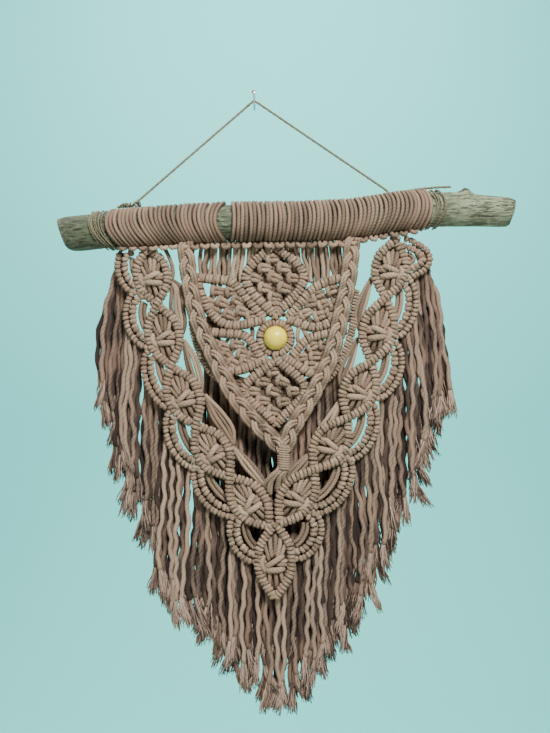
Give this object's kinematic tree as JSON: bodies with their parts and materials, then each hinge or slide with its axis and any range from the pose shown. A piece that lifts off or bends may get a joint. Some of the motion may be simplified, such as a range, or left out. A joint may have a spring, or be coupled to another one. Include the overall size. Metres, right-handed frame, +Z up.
{
  "type": "macrame wall hanging on a driftwood branch",
  "caption": "Knotted cotton wall hanging on a driftwood branch: petal panel with a wood bead, braids, a swag of knotted leaves and long fringe, hung by twine from a nail.",
  "frame": {"origin": "the middle of the nail's flush end, in the wall's plane", "axes": "+Y into the wall, +Z up, +X to the right of someone who looks at the hanging"},
  "size_m": [0.4805, 0.0447, 0.6565],
  "materials": {
    "cotton": "soft matte dusty pink cotton cord, knotted and plaited",
    "fringe_cotton": "soft matte dusty pink cotton cord hanging loose, ends combed out",
    "driftwood": "weathered grey-green driftwood with dark cracks, dry and matte",
    "jute": "hairy olive-tan jute twine",
    "bead_wood": "pale yellow round wood bead, satin, with fine grain",
    "nail_steel": "bright thin steel nail"
  },
  "bodies": {
    "root": {"branch": "driftwood", "wrap_left": "cotton", "wrap_right": "cotton", "lashing_left": "jute", "lashing_right": "jute", "hanger_twine": "jute", "nail": "nail_steel", "flower_panel": "cotton", "bead": "bead_wood", "braids": "cotton", "garland": "cotton", "fringe_left_1": "fringe_cotton", "fringe_left_2": "fringe_cotton", "fringe_left_3": "fringe_cotton", "fringe_left_4": "fringe_cotton", "fringe_left_5": "fringe_cotton", "fringe_left_6": "fringe_cotton", "fringe_right_1": "fringe_cotton", "fringe_right_2": "fringe_cotton", "fringe_right_3": "fringe_cotton", "fringe_right_4": "fringe_cotton", "fringe_right_5": "fringe_cotton", "fringe_right_6": "fringe_cotton", "fringe_point": "fringe_cotton", "fringe_panel": "fringe_cotton"}
  },
  "joints": []
}
